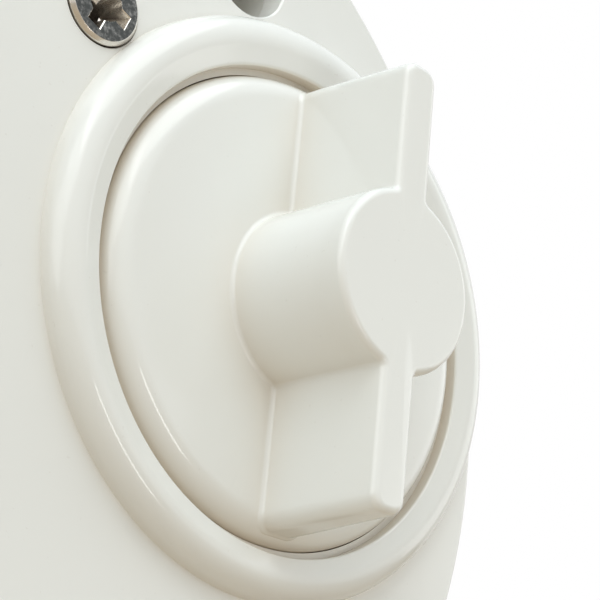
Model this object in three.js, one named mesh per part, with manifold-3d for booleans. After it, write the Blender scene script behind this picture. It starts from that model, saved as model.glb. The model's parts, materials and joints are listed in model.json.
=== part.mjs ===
// Round surface-mounted pull cord switch with a wing-shaped turn knob in a raised ring.
// Lengths are in millimetres. The pieces are laid out with +x right, +y up and +z out of
// the wall, and the finished group is turned so that its front looks along -Y with +Z up.
// The origin is the middle of the back face, which lies flat on the wall.

import * as THREE from 'three';
import { mergeVertices } from 'three/addons/utils/BufferGeometryUtils.js';
import Module from 'manifold-3d';

const wasm = await Module();
wasm.setup();

// Clearances shared by the whole switch
const gap = 0.3;
const overrun = 1;
const runningGap = 0.35;

// Round casing
const housingRadius = 47;
const floorThickness = 3;
const baseRimHeight = 7;
const shellWall = 2.2;
const faceThickness = 2.6;
const faceEdgeRound = 0.6;
const skirtDraft = 0.6;
const lipHeight = 3.5;
const lipWall = 1.9;
const sealThickness = 1;
const sealInset = 0.5;

// Raised ring and the well that the knob turns in
const ringBaseRadius = 24.6;
const ringHeight = 2.6;
const ringWallSlope = 1.35;
const ringEdgeRound = 1;
const ringEdgeStart = 30;
const ringInnerRound = 1.9;
const ringEdgeMargin = 0.25;
const ringLift = 0.4;
const wellRadius = 20.15;
const wellWall = 2;
const wellDepth = 4;
const wellFloor = 2.2;
const ringDirection = THREE.MathUtils.degToRad(18.4);

// Turn knob
const knobGap = 0.45;
const discProud = 1.9;
const discEdgeRound = 2;
const discUnderGap = 0.5;
const discSkin = 2.3;
const gripHeight = 11.9;
const bossRadius = 7.35;
const bossDraft = 0.4;
const bossEdge = 0.45;
const bladeThickness = 3.5;
const bladeDraft = 0.5;
const bladeEndInset = 0.6;
const bladeEndDraft = 0.6;
const bladeEdge = 0.5;
const knobHubRadius = 7;

// Spindle and what turns with it
const spindleRadius = 2.5;
const spindleFlat = 0.5;
const spindleTipCover = 5.3;
const clipThickness = 0.8;
const clipRadius = 4.6;
const clipGrooveDepth = 0.6;
const bearingStandoff = 3.7;
const bearingBossRadius = 6.4;
const bushWall = 1.2;
const bushFlangeRadius = 5.4;
const bushFlangeThickness = 0.9;
const sealCordRadius = 0.7;
const camThickness = 5.3;
const camPillarGap = 2.14;
const camDropSpeed = 2;
const contactTravel = 3;
const detentThickness = 3.4;
const detentWidth = 10;
const detentCornerRadius = 6.6;
const ratchetThickness = 3;
const ratchetTipRadius = 8;
const ratchetToothDepth = 1.9;
const ratchetTeeth = 4;
const ratchetRampShare = 0.99;
const firstToothAngle = THREE.MathUtils.degToRad(75);

// Cord drum with its pawl and rewind spring
const drumHeight = 5.4;
const drumFlangeRadius = 13.2;
const drumFlangeThickness = 1.4;
const drumCoreRadius = 10.8;
const drumEndPlay = 0.5;
const cordDiameter = 2.4;
const pawlPinRadius = 1;
const pawlEyeRadius = 2.5;
const pawlTipRadius = 8.5;
const pawlThickness = 2.2;
const pawlPivotAngle = THREE.MathUtils.degToRad(100);
const pawlTipAngle = THREE.MathUtils.degToRad(152);
const rewindStripThickness = 0.6;
const rewindStripGap = 0.75;
const rewindTurns = 2.5;

// Mechanism frame and its detent springs
const framePlate = 2;
const frameRadius = 14.4;
const pillarRadius = 1.6;
const pillarEdge = 0.06;
const leafThickness = 0.6;
const leafHook = 3;

// Contacts and terminals
const stemWidth = 5;
const crossheadThickness = 3.5;
const contactStripWidth = 4;
const rowPitchShare = 0.1784;
const springSideGap = 0.6;
const contactMetal = 0.8;
const rivetRadius = 1.6;
const rivetHeight = 0.8;
const pegRadius = 1.1;
const guideWall = 2;
const guideShare = 0.664;
const springWireRadius = 0.3;
const springCoilRadius = 2.1;
const springTurns = 6;
const springBackShare = 0.294;
const springWall = 1.5;
const terminalGap = 0.8;
const terminalWallGap = 1.2;
const terminalLength = 8.5;
const terminalHeight = 9;
const terminalStep = 1.5;
const wireHoleRadius = 1.9;
const wireLevelShare = 0.35;
const clampScrewRadius = 1.4;
const clampHeadRadius = 2.5;
const clampHeadHeight = 1.5;
const clampSlotWidth = 0.8;
const clampSlotDepth = 0.7;
const blockMargin = 2;
const shieldThickness = 1.5;

// Cover screws, wall fixings and the ways in for cable and cord
const screwHeadRadius = 3.4;
const screwSeatGap = 0.12;
const screwHeadProud = 0.45;
const screwHeadCone = 1.9;
const screwHeadRim = 0.6;
const screwShankRadius = 1.65;
const screwLength = 25;
const screwRecessDepth = 1.6;
const screwRecessReach = 1.9;
const screwRecessWidth = 0.9;
const ringMargin = 0.06;
const screwAngle = THREE.MathUtils.degToRad(140.7);
const lowerScrewAngle = THREE.MathUtils.degToRad(-79.4);
const postRadius = 4;
const postBoreRadius = 2;
const fixingHoleRadius = 3.95;
const fixingSleeveWall = 1.7;
const fixingRingGap = 0.45;
const fixingAngle = THREE.MathUtils.degToRad(104.5);
const fixingScrewHoleRadius = 2.4;
const cableEntryRadius = 6.2;
const cableEntryX = -12;
const cableEntryY = -20;
const grommetWall = 1.6;
const grommetFlange = 1.5;
const grommetBoreRadius = 4.2;
const outletBossRadius = 7.2;
const outletBossReach = 2.4;
const guideBoreRadius = 3.1;
const guideBushWall = 1.4;
const guideFlangeRadius = 5.8;
const guideFlangeThickness = 1.4;
const guideMouth = 0.8;
const earthX = 4;
const earthY = -25;

// Facets
const fine = 60;
const medium = 32;
const coarse = 16;
const arcSteps = 3;
const camSteps = 60;
const toothSteps = 8;
const spiralSteps = 24;
const coilSteps = 8;
const wireSteps = 3;

// Levels, from the wall outwards
const frameBottom = floorThickness + gap;
const frameTop = frameBottom + framePlate;
const camBottom = frameTop + bearingStandoff;
const camTop = camBottom + camThickness;
const camMiddle = (camBottom + camTop) / 2;
const detentBottom = camTop + gap;
const detentTop = detentBottom + detentThickness;
const ratchetBottom = detentTop + gap;
const ratchetTop = ratchetBottom + ratchetThickness;
const drumBottom = ratchetTop + gap;
const drumTop = drumBottom + drumHeight;
const cordLevel = drumBottom + drumHeight / 2;
const clipBottom = drumTop + drumEndPlay;
const clipTop = clipBottom + clipThickness;
const bushFlangeBottom = clipTop + gap;
const bushFlangeTop = bushFlangeBottom + bushFlangeThickness;
const wellUnder = bushFlangeTop + gap;
const wellFloorTop = wellUnder + wellFloor;
const faceZ = wellFloorTop + wellDepth;
const faceUnder = faceZ - faceThickness;
const discBottom = wellFloorTop + discUnderGap;
const discTop = faceZ + discProud;
const gripTop = discTop + gripHeight;
const coverBottom = baseRimHeight + sealThickness + 2 * gap;
const lipTop = coverBottom + lipHeight;

// Radii of the casing
const shellInnerRadius = housingRadius - shellWall;
const lipRadius = shellInnerRadius - gap;
const interiorRadius = lipRadius - lipWall;
const faceRadius = housingRadius - skirtDraft;

// Places across the face
const ringOffset = housingRadius - ringBaseRadius - ringEdgeMargin;
const ringX = ringOffset * Math.cos(ringDirection);
const ringY = ringOffset * Math.sin(ringDirection);
const knobX = ringX;
const knobY = ringY - ringLift;

function besideRing(radius, angle, space = ringMargin) {
  const away = ringBaseRadius + radius + space;
  return { x: ringX + away * Math.cos(angle), y: ringY + away * Math.sin(angle) };
}

const upperScrew = besideRing(screwHeadRadius + screwSeatGap, screwAngle);
const rightScrew = besideRing(screwHeadRadius + screwSeatGap, lowerScrewAngle);
const leftScrew = { x: -rightScrew.x, y: rightScrew.y };
const coverScrewPlaces = [upperScrew, rightScrew, leftScrew];
const upperFixing = besideRing(fixingHoleRadius, fixingAngle, fixingRingGap);
const lowerFixing = { x: -upperFixing.x, y: -upperFixing.y };
const fixingPlaces = [upperFixing, lowerFixing];
const cordX = knobX - drumCoreRadius - cordDiameter / 2;
const pawlPivot = polar(drumFlangeRadius + 2 * gap - pawlEyeRadius, pawlPivotAngle, knobX, knobY);

// Rows of contacts, beside the carrier spring
const rowPitch = rowPitchShare * interiorRadius;
const contactInner = springCoilRadius + springWireRadius + springSideGap + contactStripWidth / 2;
const contactOuter = contactInner + rowPitch;
const terminalWidth = rowPitch - terminalGap;

// Places along the contact mechanism, from the wall of the casing towards the cam
const camRestRadius = (
  frameRadius - pillarEdge - 2 * pillarRadius - camPillarGap - contactTravel
);
const noseX = knobX - camRestRadius - runningGap;
const frameEdge = knobX - frameRadius;
const terminalLeft = -Math.sqrt(
  (interiorRadius - terminalWallGap) ** 2 - (knobY + contactOuter + terminalWidth / 2) ** 2,
);
const terminalRight = terminalLeft + terminalLength;
const springWallLeft = terminalRight + terminalStep;
const springWallRight = springWallLeft + springWall;
const contactStack = gap + 2 * (contactMetal + rivetHeight) + contactTravel + runningGap;
const spareRoom = frameEdge - crossheadThickness - contactStack - springWallRight;
const crossheadLeft = springWallRight + contactStack + springBackShare * spareRoom;
const crossheadRight = crossheadLeft + crossheadThickness;
const bridgeRight = crossheadLeft - gap;
const bridgeLeft = bridgeRight - contactMetal;
const movingFace = bridgeLeft - rivetHeight;
const fixedFace = movingFace - contactTravel - runningGap;
const tabRight = fixedFace - rivetHeight;
const tabLeft = tabRight - contactMetal;
const stripBottom = frameTop + gap;
const stripTop = stripBottom + contactMetal;
const terminalBottom = stripTop + gap;
const terminalTop = terminalBottom + terminalHeight;
const contactRows = [
  knobY - contactOuter,
  knobY - contactInner,
  knobY + contactInner,
  knobY + contactOuter,
];
const pillarBeside = detentWidth / 2 + runningGap + leafThickness + runningGap + pillarRadius;
const pillarAcross = Math.sqrt((frameRadius - pillarEdge - pillarRadius) ** 2 - pillarBeside ** 2);

// Solids and geometry

function toSolid(geometry) {
  const bare = geometry.clone();
  bare.deleteAttribute('normal');
  bare.deleteAttribute('uv');
  const merged = mergeVertices(bare);
  const mesh = new wasm.Mesh({
    numProp: 3,
    vertProperties: new Float32Array(merged.attributes.position.array),
    triVerts: new Uint32Array(merged.index.array),
  });
  return new wasm.Manifold(mesh);
}

function toGeometry(solid) {
  const mesh = solid.getMesh();
  const geometry = new THREE.BufferGeometry();
  geometry.setAttribute('position', new THREE.BufferAttribute(mesh.vertProperties, mesh.numProp));
  geometry.setIndex(new THREE.BufferAttribute(mesh.triVerts, 1));
  geometry.computeVertexNormals();
  return geometry;
}

function joined(solids) {
  return solids.reduce((whole, next) => whole.add(next));
}

function cutBy(solid, cutters) {
  return cutters.reduce((rest, cutter) => rest.subtract(cutter), solid);
}

// A turned solid about an upright axis; each point is [radius, level]
function turned(points, x, y, segments) {
  const profile = points.map(([radius, level]) => new THREE.Vector2(radius, level));
  const geometry = new THREE.LatheGeometry(profile, segments);
  geometry.rotateX(Math.PI / 2);
  geometry.translate(x, y, 0);
  return toSolid(geometry);
}

function rod(radius, bottom, top, x, y, segments) {
  return turned([[0, bottom], [radius, bottom], [radius, top], [0, top]], x, y, segments);
}

function tube(inner, outer, bottom, top, x, y, segments) {
  const points = [[inner, bottom], [outer, bottom], [outer, top], [inner, top], [inner, bottom]];
  return turned(points, x, y, segments);
}

function block(left, right, low, high, bottom, top) {
  const geometry = new THREE.BoxGeometry(right - left, high - low, top - bottom);
  geometry.translate((left + right) / 2, (low + high) / 2, (bottom + top) / 2);
  return toSolid(geometry);
}

function prism(points, bottom, top) {
  const shape = new THREE.Shape(points.map(([x, y]) => new THREE.Vector2(x, y)));
  const geometry = new THREE.ExtrudeGeometry(shape, { depth: top - bottom, bevelEnabled: false });
  geometry.translate(0, 0, bottom);
  return toSolid(geometry);
}

// A rod that lies along x or along y
function rodAlongX(radius, left, right, y, level, segments) {
  const geometry = new THREE.CylinderGeometry(radius, radius, right - left, segments);
  geometry.rotateZ(Math.PI / 2);
  geometry.translate((left + right) / 2, y, level);
  return toSolid(geometry);
}

function turnedAlongY(points, x, level, segments) {
  const profile = points.map(([radius, y]) => new THREE.Vector2(radius, y));
  const geometry = new THREE.LatheGeometry(profile, segments);
  geometry.translate(x, 0, level);
  return toSolid(geometry);
}

function rodAlongY(radius, low, high, x, level, segments) {
  return turnedAlongY([[0, low], [radius, low], [radius, high], [0, high]], x, level, segments);
}

function arc(centreRadius, centreLevel, radius, start, end, steps) {
  const points = [];
  for (let i = 0; i <= steps; i += 1) {
    const angle = THREE.MathUtils.degToRad(start + ((end - start) * i) / steps);
    points.push([centreRadius + radius * Math.cos(angle), centreLevel + radius * Math.sin(angle)]);
  }
  return points;
}

function polar(radius, angle, x = 0, y = 0) {
  return [x + radius * Math.cos(angle), y + radius * Math.sin(angle)];
}

// A round bar with one flat side, the section of the spindle
function flattedRod(radius, flat, bottom, top) {
  const round = rod(radius, bottom, top, knobX, knobY, coarse);
  const edge = knobX + radius - flat;
  const side = block(
    edge, edge + radius, knobY - 2 * radius, knobY + 2 * radius, bottom - overrun, top + overrun,
  );
  return round.subtract(side);
}

function spindleBore(bottom, top) {
  return flattedRod(spindleRadius + gap, spindleFlat, bottom - overrun, top + overrun);
}

// A coil about the x axis, as one swept round wire
class Helix extends THREE.Curve {
  constructor(radius, left, right, turns) {
    super();
    this.radius = radius;
    this.left = left;
    this.right = right;
    this.turns = turns;
  }

  getPoint(share, target = new THREE.Vector3()) {
    const angle = share * this.turns * 2 * Math.PI;
    const along = this.left + share * (this.right - this.left);
    return target.set(along, this.radius * Math.cos(angle), this.radius * Math.sin(angle));
  }
}

function coilSpring(left, right, y, level) {
  const path = new Helix(springCoilRadius, left, right, springTurns);
  const section = new THREE.Shape();
  section.absarc(0, 0, springWireRadius, 0, 2 * Math.PI);
  const geometry = new THREE.ExtrudeGeometry(section, {
    steps: springTurns * coilSteps,
    curveSegments: wireSteps,
    bevelEnabled: false,
    extrudePath: path,
  });
  geometry.translate(0, y, level);
  return toSolid(geometry);
}

// Casing

// The ring's outer side stands a little higher than the well that the knob turns in
function makeRing() {
  const ringTop = faceZ + ringHeight;
  const shoulder = ringBaseRadius - ringWallSlope;
  const outside = turned([
    [0, faceUnder],
    [ringBaseRadius, faceUnder],
    [ringBaseRadius, faceZ],
    ...arc(
      shoulder - ringEdgeRound, ringTop - ringEdgeRound, ringEdgeRound, ringEdgeStart, 90,
      arcSteps,
    ),
    [0, ringTop],
  ], ringX, ringY, fine);
  const mouth = turned([
    [0, faceUnder - overrun],
    [wellRadius, faceUnder - overrun],
    ...arc(
      wellRadius + ringInnerRound, ringTop - ringInnerRound, ringInnerRound, 180, 90, arcSteps,
    ),
    [wellRadius + ringInnerRound, ringTop + overrun],
    [0, ringTop + overrun],
  ], knobX, knobY, fine);
  return outside.subtract(mouth);
}

function makeCover() {
  const edgeArc = arc(
    faceRadius - faceEdgeRound, faceZ - faceEdgeRound, faceEdgeRound, 0, 90, arcSteps,
  );
  const innerFaceRadius = shellInnerRadius - skirtDraft;
  const blank = turned([
    [0, coverBottom],
    [housingRadius, coverBottom],
    ...edgeArc,
    [0, faceZ],
  ], 0, 0, fine);
  const well = rod(wellRadius + wellWall, wellUnder, faceZ - gap, knobX, knobY, fine);
  const outletBoss = rodAlongY(
    outletBossRadius, -housingRadius - outletBossReach, -shellInnerRadius + 2 * shellWall,
    cordX, cordLevel, medium,
  );
  const inside = turned([
    [0, coverBottom - overrun],
    [shellInnerRadius, coverBottom - overrun],
    [shellInnerRadius, lipTop],
    [innerFaceRadius, faceUnder],
    [0, faceUnder],
  ], 0, 0, fine);
  const shell = joined([blank, outletBoss]).subtract(inside);
  const body = joined([shell, well, makeRing()]);
  const knobWell = rod(wellRadius, wellFloorTop, gripTop, knobX, knobY, fine);
  const spindleHole = rod(
    spindleRadius + gap + bushWall + gap, wellUnder - overrun, wellFloorTop + overrun,
    knobX, knobY, medium,
  );
  const fixingBores = fixingPlaces.map(({ x, y }) => (
    rod(fixingHoleRadius, faceUnder - overrun, faceZ + overrun, x, y, medium)
  ));
  const screwSeats = coverScrewPlaces.map(({ x, y }) => turned([
    [0, faceUnder - overrun],
    [screwShankRadius + gap, faceUnder - overrun],
    [screwShankRadius + gap, faceZ - screwHeadCone - gap],
    [screwHeadRadius + screwSeatGap, faceZ - screwSeatGap],
    [screwHeadRadius + screwSeatGap, faceZ + overrun],
    [0, faceZ + overrun],
  ], x, y, medium));
  const outletBore = rodAlongY(
    guideBoreRadius + guideBushWall + gap, -housingRadius - outletBossReach - overrun,
    -shellInnerRadius + 2 * shellWall + overrun, cordX, cordLevel, medium,
  );
  return cutBy(body, [knobWell, spindleHole, ...fixingBores, ...screwSeats, outletBore]);
}

function makeBasePlate() {
  const plate = turned([
    [0, 0],
    [housingRadius, 0],
    [housingRadius, baseRimHeight],
    [lipRadius, baseRimHeight],
    [lipRadius, lipTop],
    [interiorRadius, lipTop],
    [interiorRadius, floorThickness],
    [0, floorThickness],
  ], 0, 0, fine);
  const posts = coverScrewPlaces.map(({ x, y }) => (
    rod(postRadius, floorThickness - gap, faceUnder - gap, x, y, coarse)
  ));
  const postBores = coverScrewPlaces.map(({ x, y }) => (
    rod(postBoreRadius, faceZ - screwLength - overrun, faceZ, x, y, coarse)
  ));
  const fixingHoles = fixingPlaces.map(({ x, y }) => (
    rod(fixingScrewHoleRadius, -overrun, floorThickness + overrun, x, y, coarse)
  ));
  const sleeveRooms = fixingPlaces.map(({ x, y }) => (
    rod(fixingHoleRadius + fixingSleeveWall + gap, floorThickness, lipTop + overrun, x, y, medium)
  ));
  const cableHole = rod(
    cableEntryRadius, -overrun, floorThickness + overrun, cableEntryX, cableEntryY, medium,
  );
  const cuts = [...sleeveRooms, ...postBores, ...fixingHoles, cableHole];
  return cutBy(joined([plate, ...posts]), cuts);
}

// A sleeve round each wall screw, from the floor to the back of the face
function makeFixingSleeve({ x, y }) {
  return tube(
    fixingHoleRadius, fixingHoleRadius + fixingSleeveWall, floorThickness + gap,
    faceUnder - gap, x, y, medium,
  );
}

function makeCoverSeal() {
  return tube(
    lipRadius + gap, housingRadius - sealInset, baseRimHeight + gap,
    baseRimHeight + gap + sealThickness, 0, 0, fine,
  );
}

function makeCableGrommet() {
  const bodyRadius = cableEntryRadius - gap;
  const flangeRadius = cableEntryRadius + grommetWall;
  const flangeBottom = floorThickness + gap;
  return turned([
    [grommetBoreRadius, gap],
    [bodyRadius, gap],
    [bodyRadius, flangeBottom],
    [flangeRadius, flangeBottom],
    [flangeRadius, flangeBottom + grommetFlange],
    [grommetBoreRadius, flangeBottom + grommetFlange],
    [grommetBoreRadius, gap],
  ], cableEntryX, cableEntryY, medium);
}

function makeCordGuide() {
  const seat = -housingRadius - outletBossReach - gap;
  const bushRadius = guideBoreRadius + guideBushWall;
  const inner = -shellInnerRadius + shellWall;
  return turnedAlongY([
    [guideBoreRadius + guideMouth, seat - guideFlangeThickness],
    [guideFlangeRadius, seat - guideFlangeThickness],
    [guideFlangeRadius, seat],
    [bushRadius, seat],
    [bushRadius, inner],
    [guideBoreRadius, inner],
    [guideBoreRadius, seat - guideFlangeThickness + guideMouth],
    [guideBoreRadius + guideMouth, seat - guideFlangeThickness],
  ], cordX, cordLevel, medium);
}

function makeCoverScrew({ x, y }) {
  const headTop = faceZ + screwHeadProud;
  const coneBottom = faceZ - screwHeadCone;
  const screw = turned([
    [0, faceZ - screwLength],
    [screwShankRadius, faceZ - screwLength],
    [screwShankRadius, coneBottom],
    [screwHeadRadius, headTop - screwHeadRim],
    [screwHeadRadius, headTop],
    [0, headTop],
  ], x, y, coarse);
  const half = screwRecessWidth / 2;
  const bottom = headTop - screwRecessDepth;
  const reach = screwRecessReach;
  const across = block(x - reach, x + reach, y - half, y + half, bottom, headTop + overrun);
  const upright = block(x - half, x + half, y - reach, y + reach, bottom, headTop + overrun);
  return cutBy(screw, [across, upright]);
}

// Knob and what turns with it

function makeTurnKnob() {
  const discRadius = wellRadius - knobGap;
  const disc = turned([
    [0, discBottom],
    [discRadius, discBottom],
    ...arc(discRadius - discEdgeRound, discTop - discEdgeRound, discEdgeRound, 0, 90, arcSteps),
    [0, discTop],
  ], knobX, knobY, fine);
  const boss = turned([
    [0, discTop - overrun],
    [bossRadius + bossDraft, discTop - overrun],
    [bossRadius, gripTop - bossEdge],
    [bossRadius - bossEdge, gripTop],
    [0, gripTop],
  ], knobX, knobY, medium);
  const hollow = tube(
    knobHubRadius, discRadius - discSkin, discBottom - overrun, discTop - discSkin,
    knobX, knobY, medium,
  );
  const sealRoom = rod(
    spindleRadius + 2 * gap + 2 * sealCordRadius + gap, discBottom - overrun,
    wellFloorTop + 2 * sealCordRadius + 2 * gap, knobX, knobY, medium,
  );
  const bore = spindleBore(discBottom, gripTop - spindleTipCover);
  return cutBy(joined([disc, boss, makeBlade()]), [hollow, sealRoom, bore]);
}

// The wing: a drafted block whose sides and ends lean in towards its front edge
function makeBlade() {
  const halfLength = wellRadius - knobGap - bladeEndInset;
  const halfTop = bladeThickness / 2;
  const levels = [
    { level: discTop - overrun, across: halfTop + bladeDraft, along: halfLength },
    { level: discTop, across: halfTop + bladeDraft, along: halfLength },
    { level: gripTop - bladeEdge, across: halfTop, along: halfLength - bladeEndDraft },
    { level: gripTop, across: halfTop - bladeEdge, along: halfLength - bladeEndDraft - bladeEdge },
  ];
  const steps = levels.length - 1;
  const geometry = new THREE.BoxGeometry(2, 2, steps, 1, 1, steps);
  const position = geometry.attributes.position;
  for (let v = 0; v < position.count; v += 1) {
    const { level, across, along } = levels[Math.round(position.getZ(v) + steps / 2)];
    position.setXYZ(v, knobX + position.getX(v) * across, knobY + position.getY(v) * along, level);
  }
  return toSolid(geometry);
}

function makeSpindle() {
  const top = gripTop - spindleTipCover - gap;
  const bottom = frameBottom + framePlate / 2;
  const grooveRadius = spindleRadius - clipGrooveDepth;
  const bar = turned([
    [0, bottom],
    [spindleRadius, bottom],
    [spindleRadius, clipBottom - gap],
    [grooveRadius, clipBottom - gap],
    [grooveRadius, clipTop + gap],
    [spindleRadius, clipTop + gap],
    [spindleRadius, top],
    [0, top],
  ], knobX, knobY, coarse);
  const edge = knobX + spindleRadius - spindleFlat;
  const lowerFlat = block(
    edge, edge + spindleRadius, knobY - spindleRadius, knobY + spindleRadius,
    camBottom - gap, ratchetTop + gap,
  );
  const upperFlat = block(
    edge, edge + spindleRadius, knobY - spindleRadius, knobY + spindleRadius,
    discBottom, top + overrun,
  );
  return cutBy(bar, [lowerFlat, upperFlat]);
}

function makeRetainingClip() {
  const inner = spindleRadius - clipGrooveDepth + gap;
  const ring = tube(inner, clipRadius, clipBottom, clipTop, knobX, knobY, coarse);
  const mouth = block(
    knobX, knobX + 2 * clipRadius, knobY - inner, knobY + inner, clipBottom - overrun,
    clipTop + overrun,
  );
  return ring.subtract(mouth);
}

function makeSpindleBush() {
  const inner = spindleRadius + gap;
  const outer = inner + bushWall;
  return turned([
    [inner, bushFlangeBottom],
    [bushFlangeRadius, bushFlangeBottom],
    [bushFlangeRadius, bushFlangeTop],
    [outer, bushFlangeTop],
    [outer, wellFloorTop],
    [inner, wellFloorTop],
    [inner, bushFlangeBottom],
  ], knobX, knobY, coarse);
}

function makeSpindleSeal() {
  const middle = spindleRadius + gap + sealCordRadius;
  const level = wellFloorTop + gap + sealCordRadius;
  const points = arc(middle, level, sealCordRadius, 0, 360, 8);
  return turned(points, knobX, knobY, coarse);
}

function makeRearBush() {
  const inner = spindleRadius + gap;
  return tube(inner, inner + bushWall, frameTop, camBottom - gap, knobX, knobY, coarse);
}

// A steady rise over the quarter turn that the follower meets, with a rounded fall behind it
function makeCamRotor() {
  const onRadius = camRestRadius + contactTravel;
  const quarter = Math.PI / 2;
  const points = [];
  for (let i = 0; i < camSteps; i += 1) {
    const angle = (i / camSteps) * 2 * Math.PI;
    let radius = camRestRadius;
    if (angle >= quarter && angle <= 2 * quarter) {
      radius = onRadius - (contactTravel * (angle - quarter)) / quarter;
    } else if (angle < quarter) {
      radius += contactTravel * Math.sin(Math.min(quarter, camDropSpeed * angle));
    }
    points.push(polar(radius, angle, knobX, knobY));
  }
  return prism(points, camBottom, camTop).subtract(spindleBore(camBottom, camTop));
}

function makeDetentWheel() {
  const half = detentWidth / 2;
  const square = block(
    knobX - half, knobX + half, knobY - half, knobY + half, detentBottom, detentTop,
  );
  const round = rod(detentCornerRadius, detentBottom, detentTop, knobX, knobY, medium);
  return square.intersect(round).subtract(spindleBore(detentBottom, detentTop));
}

function makeRatchetWheel() {
  const points = [];
  for (let tooth = 0; tooth < ratchetTeeth; tooth += 1) {
    for (let i = 0; i <= toothSteps; i += 1) {
      const share = i / toothSteps;
      const turn = (tooth + ratchetRampShare * share) / ratchetTeeth;
      const angle = firstToothAngle + turn * 2 * Math.PI;
      points.push(polar(ratchetTipRadius - ratchetToothDepth * share, angle, knobX, knobY));
    }
  }
  const bore = spindleBore(ratchetBottom, ratchetTop);
  return prism(points, ratchetBottom, ratchetTop).subtract(bore);
}

// Cord drum, its pawl and its rewind spring

function makeCordDrum() {
  const bore = spindleRadius + gap;
  const drum = turned([
    [bore, drumBottom],
    [drumFlangeRadius, drumBottom],
    [drumFlangeRadius, drumBottom + drumFlangeThickness],
    [drumCoreRadius, drumBottom + drumFlangeThickness],
    [drumCoreRadius, drumTop - drumFlangeThickness],
    [drumFlangeRadius, drumTop - drumFlangeThickness],
    [drumFlangeRadius, drumTop],
    [bore, drumTop],
    [bore, drumBottom],
  ], knobX, knobY, medium);
  const pinHole = rod(
    pawlPinRadius + gap, drumBottom - overrun, drumBottom + drumFlangeThickness + gap,
    pawlPivot[0], pawlPivot[1], coarse,
  );
  const [anchorX, anchorY] = polar(drumCoreRadius, -pawlPivotAngle, knobX, knobY);
  const anchor = rod(
    cordDiameter / 2, drumBottom + drumFlangeThickness + gap, drumTop + overrun,
    anchorX, anchorY, coarse,
  );
  return cutBy(drum, [pinHole, anchor]);
}

function makePawlPin() {
  return rod(
    pawlPinRadius, ratchetBottom, drumBottom + drumFlangeThickness,
    pawlPivot[0], pawlPivot[1], coarse,
  );
}

function makeDrivePawl() {
  const [pivotX, pivotY] = pawlPivot;
  const [tipX, tipY] = polar(pawlTipRadius + pawlThickness / 2, pawlTipAngle, knobX, knobY);
  const along = Math.atan2(tipY - pivotY, tipX - pivotX);
  const side = along + Math.PI / 2;
  const half = pawlThickness / 2;
  const arm = prism([
    polar(half, side, pivotX, pivotY),
    polar(half, side + Math.PI, pivotX, pivotY),
    polar(half, side + Math.PI, tipX, tipY),
    polar(half / 2, along, tipX, tipY),
    polar(half, side, tipX, tipY),
  ].reverse(), ratchetBottom, ratchetTop);
  const eye = rod(pawlEyeRadius, ratchetBottom, ratchetTop, pivotX, pivotY, coarse);
  const hole = rod(
    pawlPinRadius + gap, ratchetBottom - overrun, ratchetTop + overrun, pivotX, pivotY, coarse,
  );
  return joined([arm, eye]).subtract(hole);
}

function makeRewindSpring() {
  const inner = bushFlangeRadius + 2 * gap;
  const pitch = rewindStripThickness + rewindStripGap;
  const steps = Math.round(rewindTurns * spiralSteps);
  const outside = [];
  const inside = [];
  for (let i = 0; i <= steps; i += 1) {
    const turn = i / spiralSteps;
    const angle = turn * 2 * Math.PI;
    inside.push(polar(inner + pitch * turn, angle, knobX, knobY));
    outside.push(polar(inner + pitch * turn + rewindStripThickness, angle, knobX, knobY));
  }
  const points = [...inside.reverse(), ...outside];
  return prism(points.reverse(), drumTop + gap, wellUnder - gap);
}

// Frame, contacts and terminals

function makeMechanismFrame() {
  const plate = rod(frameRadius, frameBottom, frameTop, knobX, knobY, medium);
  const bushOuter = spindleRadius + gap + bushWall;
  const boss = rod(bearingBossRadius, frameBottom, camBottom - gap, knobX, knobY, medium);
  const pillars = [];
  for (const sideX of [-1, 1]) {
    for (const sideY of [-1, 1]) {
      pillars.push(rod(
        pillarRadius, frameBottom, detentTop, knobX + sideX * pillarAcross,
        knobY + sideY * pillarBeside, coarse,
      ));
    }
  }
  const bushRoom = rod(bushOuter + gap, frameTop - gap, camBottom, knobX, knobY, coarse);
  const shaftRoom = rod(
    spindleRadius + gap, frameBottom + framePlate / 2 - gap, camBottom, knobX, knobY, coarse,
  );
  return cutBy(joined([plate, boss, ...pillars]), [bushRoom, shaftRoom]);
}

function makeDetentSpring(side) {
  const near = detentWidth / 2 + runningGap;
  const far = near + leafThickness;
  const hook = pillarAcross + pillarRadius + runningGap;
  const end = hook + leafThickness;
  const outline = [
    [-end, near], [end, near], [end, far + leafHook], [hook, far + leafHook], [hook, far],
    [-hook, far], [-hook, far + leafHook], [-end, far + leafHook],
  ].map(([x, y]) => [knobX + x, knobY + side * y]);
  const ordered = side > 0 ? outline : outline.reverse();
  return prism(ordered, detentBottom + gap, detentTop - gap);
}

function makeContactCarrier() {
  const half = stemWidth / 2;
  const stem = block(
    crossheadRight - overrun, noseX - half, knobY - half, knobY + half, camBottom, camTop,
  );
  const nose = rod(half, camBottom, camTop, noseX - half, knobY, coarse);
  const reach = contactOuter + contactStripWidth / 2 + gap;
  const crosshead = block(
    crossheadLeft, crossheadRight, knobY - reach, knobY + reach, camBottom, camTop,
  );
  const pegs = [-1, 1].map((side) => rodAlongX(
    pegRadius, bridgeLeft - gap, crossheadLeft + overrun,
    knobY + (side * (contactInner + contactOuter)) / 2, camMiddle, coarse,
  ));
  const springPeg = rodAlongX(
    springCoilRadius - springWireRadius - gap, crossheadLeft - contactTravel,
    crossheadLeft + overrun, knobY, camMiddle, coarse,
  );
  return joined([stem, nose, crosshead, ...pegs, springPeg]);
}

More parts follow.
